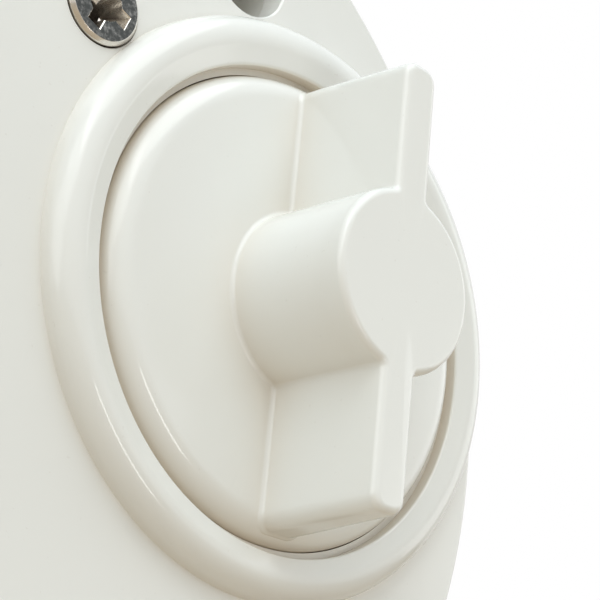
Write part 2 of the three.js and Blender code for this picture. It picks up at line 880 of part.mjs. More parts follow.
function makeMovingContact(side) {
  const middle = knobY + (side * (contactInner + contactOuter)) / 2;
  const half = (contactOuter - contactInner) / 2;
  const reach = half + contactStripWidth / 2;
  const strip = block(
    bridgeLeft, bridgeRight, middle - reach, middle + reach,
    camMiddle - contactStripWidth / 2, camMiddle + contactStripWidth / 2,
  );
  const rivets = [-1, 1].map((end) => rodAlongX(
    rivetRadius, movingFace, bridgeLeft + contactMetal / 2, middle + end * half, camMiddle, coarse,
  ));
  const hole = rodAlongX(
    pegRadius + gap, bridgeLeft - overrun, bridgeRight + overrun, middle, camMiddle, coarse,
  );
  return joined([strip, ...rivets]).subtract(hole);
}

function makeFixedContact(y) {
  const half = contactStripWidth / 2;
  const strip = block(terminalLeft + gap, tabRight, y - half, y + half, stripBottom, stripTop);
  const tab = block(tabLeft, tabRight, y - half, y + half, stripBottom, camTop);
  const rivet = rodAlongX(rivetRadius, tabLeft + contactMetal / 2, fixedFace, y, camMiddle, coarse);
  return joined([strip, tab, rivet]);
}

function makeTerminal(left, middleY, bottom) {
  const right = left + terminalLength;
  const half = terminalWidth / 2;
  const top = bottom + terminalHeight;
  const wireLevel = bottom + wireLevelShare * terminalHeight;
  const body = block(left, right, middleY - half, middleY + half, bottom, top);
  const wireHole = rodAlongX(
    wireHoleRadius, left - overrun, right + overrun, middleY, wireLevel, coarse,
  );
  const screwHole = rod(
    clampScrewRadius + gap, wireLevel, top + overrun, (left + right) / 2, middleY, coarse,
  );
  return cutBy(body, [wireHole, screwHole]);
}

function makeClampScrew(left, y, bottom) {
  const x = left + terminalLength / 2;
  const tip = bottom + wireLevelShare * terminalHeight + wireHoleRadius;
  const seat = bottom + terminalHeight + gap;
  const top = seat + clampHeadHeight;
  const screw = turned([
    [0, tip],
    [clampScrewRadius, tip],
    [clampScrewRadius, seat],
    [clampHeadRadius, seat],
    [clampHeadRadius, top],
    [0, top],
  ], x, y, coarse);
  const half = clampSlotWidth / 2;
  const slot = block(
    x - 2 * clampHeadRadius, x + 2 * clampHeadRadius, y - half, y + half, top - clampSlotDepth,
    top + overrun,
  );
  return screw.subtract(slot);
}

function makeContactBlock() {
  const reach = contactOuter + terminalWidth / 2 + gap;
  const right = frameEdge - gap;
  const guideLength = guideShare * (frameEdge - crossheadRight);
  const floor = block(
    terminalLeft - blockMargin, right, knobY - reach, knobY + reach, frameBottom, frameTop,
  );
  const room = rod(interiorRadius - gap, frameBottom - overrun, terminalTop, 0, 0, fine);
  const side = stemWidth / 2 + runningGap;
  const guides = [-1, 1].map((way) => block(
    right - guideLength, right, knobY + (way > 0 ? side : -side - guideWall),
    knobY + (way > 0 ? side + guideWall : -side), frameTop - gap, camTop + gap,
  ));
  const wallHalf = contactInner - contactStripWidth / 2 - gap;
  const stop = block(
    springWallLeft, springWallRight, knobY - wallHalf, knobY + wallHalf, frameTop - gap,
    camTop + gap,
  );
  const postRoom = coverScrewPlaces.map(({ x, y }) => (
    rod(postRadius + gap, frameBottom - overrun, terminalTop, x, y, coarse)
  ));
  return cutBy(joined([floor, ...guides, stop]).intersect(room), postRoom);
}

function makeArcShield() {
  const reach = contactOuter + contactStripWidth / 2 + 2 * gap;
  const bottom = camTop + 2 * gap;
  const plate = block(
    springWallLeft, frameEdge - gap, knobY - reach, knobY + reach, bottom,
    bottom + shieldThickness,
  );
  const postRoom = coverScrewPlaces.map(({ x, y }) => (
    rod(postRadius + gap, bottom - overrun, bottom + shieldThickness + overrun, x, y, coarse)
  ));
  return cutBy(plate, postRoom);
}

// Finishes

function finish(colour, roughness, metalness) {
  return () => new THREE.MeshStandardMaterial({ color: colour, roughness, metalness });
}

const whiteGloss = finish(0xe4e5e0, 0.22, 0);
const whiteMoulding = finish(0xdadcd6, 0.35, 0);
const nickel = finish(0x9c9a94, 0.3, 1);
const steel = finish(0x8f9296, 0.35, 1);
const brass = finish(0xb08d3f, 0.35, 1);
const copper = finish(0xb87349, 0.35, 1);
const greyRubber = finish(0x4a4c4e, 0.8, 0);
const blackMoulding = finish(0x26282b, 0.5, 0);
const amberMoulding = finish(0xc08a3c, 0.45, 0);
const clearMoulding = finish(0xd8dde0, 0.2, 0);

const switchGroup = new THREE.Group();

function place(name, solid, material) {
  const mesh = new THREE.Mesh(toGeometry(solid), material());
  mesh.name = name;
  switchGroup.add(mesh);
}

place('base_plate', makeBasePlate(), whiteMoulding);
place('front_cover', makeCover(), whiteGloss);
place('upper_fixing_sleeve', makeFixingSleeve(upperFixing), whiteMoulding);
place('lower_fixing_sleeve', makeFixingSleeve(lowerFixing), whiteMoulding);
place('cover_seal', makeCoverSeal(), greyRubber);
place('cable_grommet', makeCableGrommet(), greyRubber);
place('cord_guide', makeCordGuide(), whiteMoulding);
coverScrewPlaces.forEach((spot, i) => {
  place(`cover_screw_${i + 1}`, makeCoverScrew(spot), nickel);
});
place('turn_knob', makeTurnKnob(), whiteGloss);
place('spindle', makeSpindle(), steel);
place('spindle_clip', makeRetainingClip(), steel);
place('front_bush', makeSpindleBush(), amberMoulding);
place('spindle_seal', makeSpindleSeal(), greyRubber);
place('rear_bush', makeRearBush(), amberMoulding);
place('cam_rotor', makeCamRotor(), blackMoulding);
place('detent_wheel', makeDetentWheel(), amberMoulding);
place('ratchet_wheel', makeRatchetWheel(), steel);
place('cord_drum', makeCordDrum(), whiteMoulding);
place('pawl_pin', makePawlPin(), steel);
place('drive_pawl', makeDrivePawl(), steel);
place('rewind_spring', makeRewindSpring(), steel);
place('mechanism_frame', makeMechanismFrame(), blackMoulding);
place('detent_spring_upper', makeDetentSpring(1), steel);
place('detent_spring_lower', makeDetentSpring(-1), steel);
place('contact_carrier', makeContactCarrier(), amberMoulding);
place('moving_contact_upper', makeMovingContact(1), copper);
place('moving_contact_lower', makeMovingContact(-1), copper);
place('carrier_spring', coilSpring(
  springWallRight + gap + springWireRadius, crossheadLeft - gap - springWireRadius,
  knobY, camMiddle,
), steel);
contactRows.forEach((y, i) => {
  place(`fixed_contact_${i + 1}`, makeFixedContact(y), copper);
  place(`terminal_${i + 1}`, makeTerminal(terminalLeft, y, terminalBottom), brass);
  place(`terminal_screw_${i + 1}`, makeClampScrew(terminalLeft, y, terminalBottom), nickel);
});
place('contact_block', makeContactBlock(), blackMoulding);
place('arc_shield', makeArcShield(), clearMoulding);
place('earth_terminal', makeTerminal(earthX, earthY, frameBottom), brass);
place('earth_screw', makeClampScrew(earthX, earthY, frameBottom), nickel);

// Out of the wall becomes -Y and up becomes +Z
switchGroup.rotation.x = Math.PI / 2;
switchGroup.updateMatrixWorld(true);

export default switchGroup;
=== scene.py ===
"""A round surface-mounted pull cord switch with a wing-shaped turn knob in a raised ring.

Sizes are in millimetres. Every piece is laid out as the switch is seen from the front, with x to
the right, y up and z out of the wall, and to_row() puts each point into the frame in metres. The
floor and the lamps are placed in the frame itself, in metres.
"""

import json
import math

import bmesh
import bpy
from mathutils import Matrix, Vector


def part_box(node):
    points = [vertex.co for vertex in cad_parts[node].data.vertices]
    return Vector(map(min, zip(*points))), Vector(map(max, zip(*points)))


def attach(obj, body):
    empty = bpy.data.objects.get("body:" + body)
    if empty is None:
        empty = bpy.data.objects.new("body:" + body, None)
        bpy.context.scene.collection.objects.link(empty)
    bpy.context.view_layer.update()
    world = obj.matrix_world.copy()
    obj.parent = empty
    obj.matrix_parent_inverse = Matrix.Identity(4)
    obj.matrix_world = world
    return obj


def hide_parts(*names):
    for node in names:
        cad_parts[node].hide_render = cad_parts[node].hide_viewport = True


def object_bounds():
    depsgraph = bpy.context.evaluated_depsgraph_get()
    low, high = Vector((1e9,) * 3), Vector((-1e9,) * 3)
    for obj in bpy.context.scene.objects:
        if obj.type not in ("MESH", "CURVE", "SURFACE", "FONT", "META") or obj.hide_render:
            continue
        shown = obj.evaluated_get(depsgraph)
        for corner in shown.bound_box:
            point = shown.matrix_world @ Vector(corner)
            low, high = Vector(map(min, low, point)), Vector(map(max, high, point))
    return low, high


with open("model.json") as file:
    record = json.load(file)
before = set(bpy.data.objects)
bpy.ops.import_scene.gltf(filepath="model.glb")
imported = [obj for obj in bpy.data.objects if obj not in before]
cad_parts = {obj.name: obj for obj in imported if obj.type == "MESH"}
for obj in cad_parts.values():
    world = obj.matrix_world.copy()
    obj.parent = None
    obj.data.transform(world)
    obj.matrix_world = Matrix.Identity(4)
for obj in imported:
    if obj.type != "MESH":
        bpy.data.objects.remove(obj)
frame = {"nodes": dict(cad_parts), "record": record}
cad_low, cad_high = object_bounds()

MM = 0.001


class Seat:
    """Where a node lies in the front view: its centre and half width, its levels out of the wall
    (bottom and top), and its lower and upper edge (foot and head)."""

    def __init__(self, node):
        low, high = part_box(node)
        self.x = (low.x + high.x) / 2 / MM
        self.y = (low.z + high.z) / 2 / MM
        self.radius = (high.x - low.x) / 2 / MM
        self.bottom = -high.y / MM
        self.top = -low.y / MM
        self.foot = low.z / MM
        self.head = high.z / MM


cover = Seat("front_cover")
base = Seat("base_plate")
knob = Seat("turn_knob")
seal = Seat("cover_seal")
grommet = Seat("cable_grommet")
guide = Seat("cord_guide")
screws = [Seat(f"cover_screw_{number}") for number in (1, 2, 3)]
sleeves = [Seat("upper_fixing_sleeve"), Seat("lower_fixing_sleeve")]

# Fits that many pieces share
GAP = 0.3
SEAM = 0.03
OVERRUN = 1.0
SMALL_ROUND = 0.25

# Cover
SHELL_WALL = 2.2
FACE_THICKNESS = 2.6
FACE_EDGE_ROUND = 0.6
SKIRT_DRAFT = 0.6

# Raised ring
RING_HEIGHT = 2.6
RING_BASE_RADIUS = 24.6
RING_WALL_SLOPE = 0.65
RING_CORNER_LEVEL = 2.85
RING_CROWN_ROUND = 2.1
RING_LIFT = 0.4
RING_LIP_RADIUS = 20.4
RING_LIP_LEVEL = 1.75
RING_LIP_ROUND = 0.3
RING_LEDGE_LEVEL = 0.6

# Well that the knob turns in
WELL_RADIUS = 19.84
WELL_WALL = 2.0
WELL_DEPTH = 4.0
WELL_FLOOR_THICKNESS = 2.2
SPINDLE_HOLE_RADIUS = 4.3

# Disc of the knob
DISC_RADIUS = 19.8
DISC_PROUD = 2.4
DISC_ROUND = 2.2
DISC_SKIN = 2.3
HUB_RADIUS = 7.0
SEAL_ROOM_RADIUS = 4.8
SEAL_ROOM_DEPTH = 1.5
BORE_RADIUS = 2.8
BORE_FLAT = 0.5
BORE_COVER = 5.3

# Grip of the knob: half the wing's width, the wing's reach and the boss's radius
GRIP_FOOT = {"half": 2.25, "reach": 19.0, "boss": 7.75}
GRIP_FRONT = {"half": 1.75, "reach": 18.45, "boss": 7.35}
GRIP_EDGE = 0.6
GRIP_CREASE = 0.5
GRIP_CORNER = 1.25
GRIP_FILLET = 0.4
TIP_FILLET = 0.15
CREASE_LOSS_SHARE = 0.75
CORNER_GAIN_SHARE = 0.7

# Cover screws
HEAD_RADIUS = 3.4
HEAD_PROUD = 0.45
HEAD_RIM = 0.6
HEAD_CONE_DEPTH = 1.9
HEAD_BEVEL = 0.3
HEAD_TOP_ROUND = 0.1
HEAD_BEVEL_ROUND = 0.15
HEAD_EDGE_ROUND = 0.05
HEAD_SEAT_GAP = 0.12
NECK_ROUND = 0.2
SHANK_RADIUS = 1.65
POINT_LENGTH = 0.8
POINT_TAPER = 0.7

# Driver recess, and how far each screw was turned in, in degrees
RECESS_DEPTH = 2.1
RECESS_REACH = 2.35
RECESS_HALF = 0.62
RECESS_CORE = 1.5
RECESS_TAPER_SHARE = 0.55
RECESS_CHAMFER = 0.07
SOCKET_RADIUS = 1.55
SCREW_TURNS = (-21.0, 31.0, 8.0)

# Base plate, with the tongue that stands inside the cover
BASE_FLOOR = 3.0
BASE_RIM_HEIGHT = 7.0
BACK_EDGE_ROUND = 0.4
TONGUE_HEIGHT = 3.5
TONGUE_WALL = 1.9
FLOOR_FILLET = 0.6
POST_RADIUS = 4.0
POST_BORE_RADIUS = 2.0
POST_ROUND = 0.4

# Marks of the ejector pins in the back
MARK_RADIUS = 2.4
MARK_DEPTH = 0.12
MARK_CIRCLE = 35.0
MARK_COUNT = 6
MARK_START = 20.0

# Fixing holes and their sleeves
FIXING_RADIUS = 3.95
FIXING_CHAMFER = 0.15
WALL_SCREW_RADIUS = 2.4
SLEEVE_ROUND = 0.3

# Cable entry and its grommet
ENTRY_RADIUS = 6.2
CABLE_RADIUS = 4.2
GROMMET_MOUTH_ROUND = 0.5
GROMMET_EDGE_ROUND = 0.3
GROMMET_RIM_ROUND = 0.4

# Cord outlet and its guide
OUTLET_BOSS_RADIUS = 7.2
OUTLET_REACH = 2.4
OUTLET_ROUND = 0.6
GUIDE_BORE = 3.1
GUIDE_BUSH = 4.5
GUIDE_FLANGE = 1.4
GUIDE_MOUTH_ROUND = 0.8
GUIDE_RIM_ROUND = 0.4
GUIDE_STEP_ROUND = 0.2
GUIDE_END_ROUND = 0.3

FACE = cover.top - RING_HEIGHT
FACE_UNDER = FACE - FACE_THICKNESS
SHELL_INNER = cover.radius - SHELL_WALL
WELL_FLOOR = FACE - WELL_DEPTH
DISC_FACE = FACE + DISC_PROUD
GUIDE_LEVEL = (guide.bottom + guide.top) / 2

# How finely round shapes are drawn
LARGE_SEGMENTS = 224
SMALL_SEGMENTS = 96
ROUND_STEPS = 6
COVER_ROUND_STEPS = 10
RING_ROUND_STEPS = 12
CREASE_ANGLE = 28
GRIP_COUNTS = {"tip": 5, "corner": 8, "side": 30, "crease": 8, "boss": 26}
GRIP_EDGE_STEPS = 7
GRIP_WALL_STEPS = 6
GRIP_FILLET_STEPS = 7
DISC_FLAT_SHARES = (0.5, 0.8, 1.0)
DISC_ROUND_STEPS = 9


def to_row(point):
    x, y, z = point
    return Vector((x, -z, y)) * MM


# Camera, with its distance and slide measured from the ring's centre

VIEW_AZIMUTH = math.radians(44.07)
VIEW_ELEVATION = math.radians(-15.91)
VIEW_ROLL = math.radians(5.3)
VIEW_DISTANCE = 140.0
VIEW_SLIDE = (1.51, -11.6)
PICTURE_PIXELS = 600
FOCAL_PIXELS = 1696.8
PRINCIPAL_DROP_PIXELS = 150
SENSOR = 36.0
NEAREST = 5.0


def add_camera():
    level = math.cos(VIEW_ELEVATION)
    across = Vector((math.cos(VIEW_AZIMUTH), 0, math.sin(VIEW_AZIMUTH)))
    back = Vector((
        -math.sin(VIEW_AZIMUTH) * level,
        math.sin(VIEW_ELEVATION),
        math.cos(VIEW_AZIMUTH) * level,
    ))
    upright = back.cross(across)
    right = across * math.cos(VIEW_ROLL) + upright * math.sin(VIEW_ROLL)
    up = upright * math.cos(VIEW_ROLL) - across * math.sin(VIEW_ROLL)
    eye = right * VIEW_SLIDE[0] + up * VIEW_SLIDE[1] + back * VIEW_DISTANCE
    data = bpy.data.cameras.new("camera")
    data.sensor_width = SENSOR
    data.lens = FOCAL_PIXELS / PICTURE_PIXELS * SENSOR
    data.shift_y = PRINCIPAL_DROP_PIXELS / PICTURE_PIXELS
    data.clip_start = NEAREST * MM
    camera = bpy.data.objects.new("camera", data)
    bpy.context.scene.collection.objects.link(camera)
    axes = [to_row(axis).normalized() for axis in (right, up, back)]
    place = to_row((knob.x + eye.x, knob.y + RING_LIFT + eye.y, FACE + eye.z))
    camera.matrix_world = Matrix.Translation(place) @ Matrix(axes).transposed().to_4x4()
    bpy.context.scene.camera = camera


# Meshes

def new_piece(name, mesh):
    bmesh.ops.recalc_face_normals(mesh, faces=mesh.faces)
    data = bpy.data.meshes.new(name)
    mesh.to_mesh(data)
    mesh.free()
    piece = bpy.data.objects.new(name, data)
    bpy.context.scene.collection.objects.link(piece)
    return piece


def skin(name, rings, looped=False):
    """A closed mesh over rings of equally many points; a ring of one point closes an end."""
    mesh = bmesh.new()
    rows = [[mesh.verts.new(to_row(point)) for point in ring] for ring in rings]
    following = rows[1:] + rows[:1] if looped else rows[1:]
    for low, high in zip(rows, following):
        count = max(len(low), len(high))
        for i in range(count):
            j = (i + 1) % count
            if len(low) == 1:
                mesh.faces.new((low[0], high[i], high[j]))
            elif len(high) == 1:
                mesh.faces.new((low[i], low[j], high[0]))
            else:
                mesh.faces.new((low[i], low[j], high[j], high[i]))
    return new_piece(name, mesh)


def circle(x, y, radius, segments):
    """Points round a centre, or the centre alone where the radius is zero."""
    points = []
    for i in range(segments if radius > 0 else 1):
        angle = 2 * math.pi * i / segments
        points.append((x + radius * math.cos(angle), y + radius * math.sin(angle)))
    return points


def turned(name, profile, x, y, segments=SMALL_SEGMENTS, downward=False, looped=False):
    """A lathed mesh about an axis out of the wall, or about one that points down."""
    rings = []
    for radius, level in profile:
        points = circle(x, y, radius, segments)
        if downward:
            rings.append([(across, level, out) for across, out in points])
        else:
            rings.append([(across, up, level) for across, up in points])
    return skin(name, rings, looped)


def rod(name, radius, low, high, x, y, segments=SMALL_SEGMENTS):
    """A plain round solid that points out of the wall, as a post or as a cutter."""
    return turned(name, [(0, low), (radius, low), (radius, high), (0, high)], x, y, segments)


def soften(corners, steps=ROUND_STEPS, looped=False):
    """Corners given as (radius, level) or (radius, level, rounding), as points with their arcs."""
    points = []
    for i, corner in enumerate(corners):
        here = Vector(corner[:2])
        if len(corner) < 3:
            points.append(tuple(here))
            continue
        before = Vector(corners[i - 1][:2])
        after = Vector(corners[(i + 1) % len(corners)][:2])
        first = (before - here).normalized()
        second = (after - here).normalized()
        half = first.angle(second) / 2
        centre = here + (first + second).normalized() * corner[2] / math.sin(half)
        start = here + first * corner[2] / math.tan(half) - centre
        end = here + second * corner[2] / math.tan(half) - centre
        sweep = math.atan2(start.cross(end), start.dot(end))
        for k in range(steps + 1):
            share = k / steps
            points.append(tuple(centre + Matrix.Rotation(sweep * share, 2) @ start))
    return points


def combine(piece, others, operation):
    """Joins the others to a piece, or cuts them out of it, and takes them away."""
    for other in others:
        step = piece.modifiers.new(operation, "BOOLEAN")
        step.operation = operation
        step.solver = "EXACT"
        step.object = other
    graph = bpy.context.evaluated_depsgraph_get()
    mesh = bpy.data.meshes.new_from_object(piece.evaluated_get(graph))
    piece.modifiers.clear()
    piece.data = mesh
    for other in others:
        bpy.data.objects.remove(other)


def dress(piece, body, slot, node):
    """Smooth shading with crisp creases, a finish, a body and the node that the piece replaces."""
    piece.data.shade_smooth()
    piece.data.set_sharp_from_angle(angle=math.radians(CREASE_ANGLE))
    even = piece.modifiers.new("even_shading", "WEIGHTED_NORMAL")
    even.keep_sharp = True
    piece.data.materials.clear()
    piece.data.materials.append(finishes[slot])
    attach(piece, body)
    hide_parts(node)


# Shader arithmetic

class Wire:
    """A shader socket; sums, differences, products and powers of it add Math nodes."""

    def __init__(self, nodes, socket):
        self.nodes = nodes
        self.socket = socket

    def math(self, operation, *terms, clamp=False):
        settings = {"operation": operation, "use_clamp": clamp}
        return self.nodes.node("ShaderNodeMath", settings, dict(enumerate(terms)))

    def __add__(self, other):
        return self.math("ADD", self, other)

    def __rsub__(self, other):
        return self.math("SUBTRACT", other, self)

    def __mul__(self, other):
        return self.math("MULTIPLY", self, other)

    def __pow__(self, other):
        return self.math("POWER", self, other)

    def clamped(self):
        return self.math("ADD", self, 0, clamp=True)

    def larger(self, other):
        return self.math("MAXIMUM", self, other)

    __radd__ = __add__
    __rmul__ = __mul__


class Nodes:
    """The nodes of a material or of the world, and the last of them, which the others feed."""

    def __init__(self, owner, last):
        owner.use_nodes = True
        self.tree = owner.node_tree
        self.last = self.tree.nodes[last]

    def node(self, kind, settings=None, sockets=None, output=0):
        """Adds a node with its settings, then the values or links of its sockets."""
        node = self.tree.nodes.new(kind)
        for key, value in (settings or {}).items():
            setattr(node, key, value)
        for key, value in (sockets or {}).items():
            if isinstance(value, Wire):
                self.tree.links.new(value.socket, node.inputs[key])
            else:
                node.inputs[key].default_value = value
        return Wire(self, node.outputs[output])

    def feed(self, socket, wire):
        self.tree.links.new(wire.socket, self.last.inputs[socket])


CREVICE_SAMPLES = 12


class Finish(Nodes):
    """A node material round one Principled shader; its lengths are in millimetres."""

    def __init__(self, name, constants):
        self.material = bpy.data.materials.new(name)
        super().__init__(self.material, "Principled BSDF")
        for key, value in constants.items():
            self.last.inputs[key].default_value = value
        self.place = self.node("ShaderNodeTexCoord", output="Object")

    def noise(self, scale, detail, roughness=0.5):
        """Soft patches, scale of them to a metre."""
        sockets = {
            "Vector": self.place,
            "Scale": scale,
            "Detail": detail,
            "Roughness": roughness,
        }
        return self.node("ShaderNodeTexNoise", None, sockets, "Fac")

    def between(self, value, low, high):
        """Zero up to low, one from high on, and even in between."""
        sockets = {"Value": value, "From Min": low, "From Max": high}
        return self.node("ShaderNodeMapRange", None, sockets)

    def uneven(self, middle, spread, scale, detail):
        """A value that wanders about its middle."""
        return middle - spread / 2 + spread * self.noise(scale, detail)

    def mixed(self, factor, first, second):
        settings = {"data_type": "RGBA"}
        return self.node("ShaderNodeMix", settings, {0: factor, 6: first, 7: second}, 2)

    def crevice(self, reach):
        """One in tight corners, falling to nothing on open faces."""
        settings = {"samples": CREVICE_SAMPLES}
        sockets = {"Distance": reach * MM}
        return 1 - self.node("ShaderNodeAmbientOcclusion", settings, sockets, "AO")

    def relief(self, height, depth, strength):
        sockets = {"Height": height, "Distance": depth * MM, "Strength": strength}
        self.feed("Normal", self.node("ShaderNodeBump", None, sockets))


# Finishes

def rgb(red, green, blue):
    return (red, green, blue, 1.0)


def shaded(colour, share):
    return rgb(*(share * part for part in colour[:3]))


PLASTIC_IOR = 1.5
CLOUD_SHADE = 0.975
# Painted shade in corners and creases: its warm colour, reach in millimetres, falloff and share
PAINTED_SHADE_COLOUR = rgb(0.7, 0.6, 0.47)
PAINTED_SHADE_REACH = 5.5
PAINTED_SHADE_FALL = 1.6
PAINTED_SHADE_SHARE = 0.9
FLECK_COLOUR = rgb(0.42, 0.36, 0.3)
FLECK_TINT = 0.1
GRAIN_SHARE = 0.02


def white_plastic(name, colour, roughness):
    """Glossy white with faint clouds and specks, with painted shade in corners and creases, warm
    like light that has seeped through the plastic.
    """
    finish = Finish(name, {"IOR": PLASTIC_IOR, "Roughness": roughness})
    tone = finish.mixed(finish.noise(scale=70, detail=3), colour, shaded(colour, CLOUD_SHADE))
    # Painted shade: darker and warmer where the surface is enclosed
    corner = finish.crevice(PAINTED_SHADE_REACH) ** PAINTED_SHADE_FALL
    tone = finish.mixed((corner * PAINTED_SHADE_SHARE).clamped(), tone, PAINTED_SHADE_COLOUR)
    fleck = finish.between(finish.noise(scale=2600, detail=1), low=0.76, high=0.8)
    finish.feed("Base Color", finish.mixed(fleck * FLECK_TINT, tone, FLECK_COLOUR))
    finish.feed("Roughness", finish.uneven(roughness, spread=0.06, scale=420, detail=3))
    swell = finish.noise(scale=95, detail=1)
    grain = finish.noise(scale=5200, detail=2)
    finish.relief(swell + GRAIN_SHARE * grain, depth=0.05, strength=0.6)
    return finish.material


def moulded(name, colour, roughness, shade=0.85):
    finish = Finish(name, {"IOR": PLASTIC_IOR, "Roughness": roughness})
    cloud = finish.noise(scale=160, detail=4)
    finish.feed("Base Color", finish.mixed(cloud, colour, shaded(colour, shade)))
    finish.feed("Roughness", finish.uneven(roughness, spread=0.12, scale=900, detail=3))
    finish.relief(finish.noise(scale=3800, detail=2), depth=0.03, strength=0.5)
    return finish.material


RUBBER_ROUGHNESS = 0.7
RUBBED_ROUGHNESS = 0.72
RUBBER_DUST = 0.05


def rubber(name, colour):
    finish = Finish(name, {"IOR": PLASTIC_IOR, "Roughness": RUBBER_ROUGHNESS})
    dusty = rgb(*(part + RUBBER_DUST for part in colour[:3]))
    dust = finish.noise(scale=300, detail=5, roughness=0.7)
    finish.feed("Base Color", finish.mixed(dust, colour, dusty))
    finish.feed("Roughness", finish.uneven(RUBBED_ROUGHNESS, spread=0.2, scale=700, detail=4))
    finish.relief(finish.noise(scale=4500, detail=3), depth=0.05, strength=0.6)
    return finish.material


TARNISH_SHADE = 0.6
HANDLING_DULLNESS = 0.02


def metal(name, colour, roughness):
    finish = Finish(name, {"Metallic": 1.0, "Roughness": roughness})
    patch = finish.noise(scale=650, detail=5, roughness=0.65)
    tarnish = finish.between(patch, low=0.42, high=0.68)
    finish.feed("Base Color", finish.mixed(tarnish, colour, shaded(colour, TARNISH_SHADE)))
    handled = roughness + HANDLING_DULLNESS
    finish.feed("Roughness", finish.uneven(handled, spread=0.2, scale=1500, detail=4))
    finish.relief(finish.noise(scale=2600, detail=4), depth=0.02, strength=0.6)
    return finish.material


PLATE_COLOUR = rgb(0.72, 0.69, 0.64)
# Painted dark reflection on the flat front of the head, and the specks in it
PAINTED_REFLECTION_COLOUR = rgb(0.075, 0.08, 0.078)
SPECK_COLOUR = rgb(0.3, 0.3, 0.29)
# Darker, duller colour deep in the driver recess
RECESS_DARK_COLOUR = rgb(0.05, 0.028, 0.016)
RECESS_DARK_REACH = 2.0
RECESS_DULLNESS = 0.2
PLATE_ROUGHNESS = 0.2
HANDLED_PLATE_ROUGHNESS = 0.24
OUT_OF_WALL = (0, -1, 0)


def nickel_plate():
    """Bright on the slopes of the head, with a painted dark reflection on its flat front, and
    darker and duller deep in the recess.
    """
    finish = Finish("nickel_plate", {"Metallic": 1.0, "Roughness": PLATE_ROUGHNESS})
    patch = finish.noise(scale=2700, detail=4, roughness=0.7)
    speck = finish.between(patch, low=0.45, high=0.75)
    # Painted reflection: the flat front, which faces out of the wall, is painted dark
    normal = finish.node("ShaderNodeTexCoord", output="Normal")
    settings = {"operation": "DOT_PRODUCT"}
    facing = finish.node("ShaderNodeVectorMath", settings, {0: normal, 1: OUT_OF_WALL}, "Value")
    front = finish.between(facing, low=0.9, high=0.98)
    plate = finish.mixed(front, PLATE_COLOUR, finish.mixed(speck, PAINTED_REFLECTION_COLOUR, SPECK_COLOUR))
    # Darker and duller deep in the recess, by how enclosed the surface is
    recess_dark = finish.between(finish.crevice(RECESS_DARK_REACH), low=0.45, high=0.8)
    finish.feed("Base Color", finish.mixed(recess_dark, plate, RECESS_DARK_COLOUR))
    dullness = finish.uneven(HANDLED_PLATE_ROUGHNESS, spread=0.16, scale=1900, detail=4)
    finish.feed("Roughness", dullness + RECESS_DULLNESS * recess_dark)
    finish.relief(finish.noise(scale=1700, detail=5), depth=0.03, strength=0.7)
    return finish.material


finishes = {
    "gloss_white": white_plastic("gloss_white_plastic", rgb(0.845, 0.858, 0.832), 0.13),
    "white_moulding": white_plastic("plain_white_plastic", rgb(0.76, 0.76, 0.725), 0.34),
    "grey_rubber": rubber("grey_rubber", rgb(0.06, 0.06, 0.065)),
    "nickel": nickel_plate(),
    "steel": metal("turned_steel", rgb(0.5, 0.5, 0.51), 0.32),
    "spring_steel": metal("spring_steel", rgb(0.4, 0.41, 0.43), 0.3),
    "amber_moulding": moulded("amber_moulding", rgb(0.62, 0.38, 0.14), 0.42),
    "black_moulding": moulded("black_moulding", rgb(0.022, 0.023, 0.026), 0.4, shade=1.5),
    "copper": metal("copper_strip", rgb(0.72, 0.38, 0.25), 0.3),
    "brass": metal("machined_brass", rgb(0.72, 0.53, 0.24), 0.26),
    "shield_moulding": moulded("pale_shield", rgb(0.6, 0.63, 0.64), 0.3),
}


# Cover

def raised_ring():
    """The ring's outer circles lie a little higher than the mouth that the knob turns in."""
    profile = soften([
        (WELL_RADIUS, FACE_UNDER + GAP),
        (RING_BASE_RADIUS, FACE_UNDER + GAP),
        (RING_BASE_RADIUS, FACE),
        (RING_BASE_RADIUS - RING_WALL_SLOPE, FACE + RING_CORNER_LEVEL, RING_CROWN_ROUND),
        (RING_LIP_RADIUS, FACE + RING_LIP_LEVEL, RING_LIP_ROUND),
        (RING_LIP_RADIUS, FACE + RING_LEDGE_LEVEL),
        (WELL_RADIUS, FACE + RING_LEDGE_LEVEL),
    ], steps=RING_ROUND_STEPS)
    rings = []
    for radius, level in profile:
        share = (radius - RING_LIP_RADIUS) / (RING_BASE_RADIUS - RING_LIP_RADIUS)
        y = knob.y + RING_LIFT * min(1, max(0, share))
        points = circle(knob.x, y, radius, LARGE_SEGMENTS)
        rings.append([(across, up, level) for across, up in points])
    return skin("ring", rings, looped=True)


def cover_shell():
    return turned("casing_cover", soften([
        (0, FACE),
        (cover.radius - SKIRT_DRAFT, FACE, FACE_EDGE_ROUND),
        (cover.radius, cover.bottom, SMALL_ROUND),
        (SHELL_INNER, cover.bottom, SMALL_ROUND),
        (SHELL_INNER - SKIRT_DRAFT, FACE_UNDER, SMALL_ROUND),
        (0, FACE_UNDER),
    ], steps=COVER_ROUND_STEPS), 0, 0, LARGE_SEGMENTS)


def fixing_hole(seat):
    return turned("fixing_hole", [
        (0, FACE_UNDER - OVERRUN),
        (FIXING_RADIUS, FACE_UNDER - OVERRUN),
        (FIXING_RADIUS, FACE - FIXING_CHAMFER),
        (FIXING_RADIUS + FIXING_CHAMFER, FACE),
        (FIXING_RADIUS + FIXING_CHAMFER, FACE + OVERRUN),
        (0, FACE + OVERRUN),
    ], seat.x, seat.y)


def screw_seat(seat):
    return turned("screw_seat", [
        (0, FACE_UNDER - OVERRUN),
        (SHANK_RADIUS + GAP, FACE_UNDER - OVERRUN),
        (SHANK_RADIUS + GAP, FACE - HEAD_CONE_DEPTH - GAP),
        (HEAD_RADIUS + HEAD_SEAT_GAP, FACE - HEAD_SEAT_GAP),
        (HEAD_RADIUS + HEAD_SEAT_GAP, FACE + OVERRUN),
        (0, FACE + OVERRUN),
    ], seat.x, seat.y)


